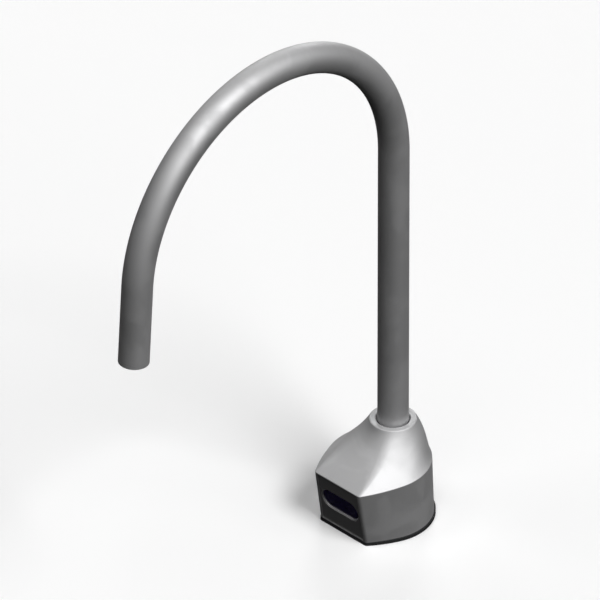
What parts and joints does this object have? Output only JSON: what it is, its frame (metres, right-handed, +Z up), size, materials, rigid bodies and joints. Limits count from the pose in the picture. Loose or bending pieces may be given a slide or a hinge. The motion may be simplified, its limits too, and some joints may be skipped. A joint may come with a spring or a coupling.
{
  "type": "sensor faucet",
  "caption": "Deck-mounted touch-free faucet: a compact cast base with a leaning infrared sensor face and a plain gooseneck spout that swivels in its collar.",
  "frame": {"origin": "where the spout's swivel axis meets the deck plane, at the mouth of the threaded shank socket", "axes": "+Z up along the riser, -Y to the front, where the sensor face and the spout point, +X to the faucet's own left"},
  "size_m": [0.067, 0.251, 0.3778],
  "materials": {
    "satin_chrome": "satin chrome plate",
    "steel": "stainless steel",
    "brass": "turned brass",
    "black_rubber": "matt black rubber",
    "black_plastic": "matt black moulding",
    "window_plastic": "polished infrared filter",
    "white_plastic": "natural acetal",
    "board_green": "circuit board",
    "lamp_plastic": "tinted lamp moulding",
    "status_plastic": "red lamp moulding"
  },
  "bodies": {
    "base": {"housing": "satin_chrome", "base_gasket": "black_rubber", "base_plate": "steel", "base_plate_screws": "steel", "waterway_body": "brass", "inlet_seal": "black_rubber", "thrust_washer": "white_plastic", "spout_bearing": "black_plastic", "stop_screw": "steel", "cable_grommet": "black_rubber", "sensor_panel": "satin_chrome", "sensor_window": "window_plastic", "sensor_seal": "black_rubber", "sensor_case": "black_plastic", "sensor_board": "board_green", "ir_emitter": "lamp_plastic", "ir_receiver": "lamp_plastic", "status_led": "status_plastic", "sensor_clamp": "steel", "sensor_screws": "steel"},
    "spout": {"spout_tube": "satin_chrome", "spout_ferrule": "brass", "upper_o_ring": "black_rubber", "lower_o_ring": "black_rubber", "outlet_shell": "satin_chrome", "outlet_seal": "black_rubber", "outlet_screen": "steel", "stream_former": "white_plastic", "flow_regulator": "white_plastic"}
  },
  "joints": [
    {"name": "spout_swivel", "type": "hinge", "parent": "base", "child": "spout", "pos_m": [0, 0, 0.05], "axis": [0, 0, 1], "range_deg": [-60, 60]}
  ]
}
